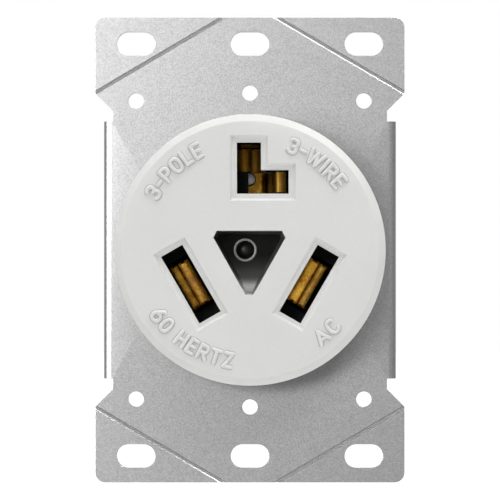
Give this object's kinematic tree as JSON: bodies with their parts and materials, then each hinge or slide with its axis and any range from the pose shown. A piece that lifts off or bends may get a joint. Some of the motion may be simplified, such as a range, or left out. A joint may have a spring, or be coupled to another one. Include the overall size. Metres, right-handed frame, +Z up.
{
  "type": "three prong dryer receptacle",
  "caption": "Round white flush-mount dryer receptacle with an L-shaped neutral slot on a wide steel mounting strap.",
  "frame": {"origin": "centre of the mounting strap's back face", "axes": "+X right as seen from the front, +Y back into the wall, +Z up along the strap"},
  "size_m": [0.0624, 0.0347, 0.094],
  "materials": {
    "strap_steel": "galvanised, fine speckle",
    "face_plastic": "white moulded nylon, satin",
    "insulator_plastic": "glossy black moulding",
    "base_plastic": "black moulding, fine grain",
    "contact_brass": "rolled brass strip",
    "spring_steel": "spring steel",
    "lug_metal": "tin plated",
    "rivet_steel": "plated",
    "screw_steel": "zinc plated"
  },
  "bodies": {
    "root": {"mounting_strap": "strap_steel", "face_cover": "face_plastic", "front_insulator": "insulator_plastic", "base_body": "base_plastic", "centre_rivet": "rivet_steel", "line_contact_left": "contact_brass", "line_contact_right": "contact_brass", "neutral_contact": "contact_brass", "contact_spring_left": "spring_steel", "contact_spring_right": "spring_steel", "contact_spring_neutral": "spring_steel", "terminal_lug_left": "lug_metal", "terminal_lug_right": "lug_metal", "terminal_lug_neutral": "lug_metal", "contact_rivet_left": "rivet_steel", "contact_rivet_right": "rivet_steel", "contact_rivet_neutral": "rivet_steel", "terminal_screw_left": "screw_steel", "terminal_screw_right": "screw_steel", "terminal_screw_neutral": "screw_steel", "assembly_screw_upper_left": "screw_steel", "assembly_screw_upper_right": "screw_steel", "assembly_screw_lower": "screw_steel"}
  },
  "joints": []
}
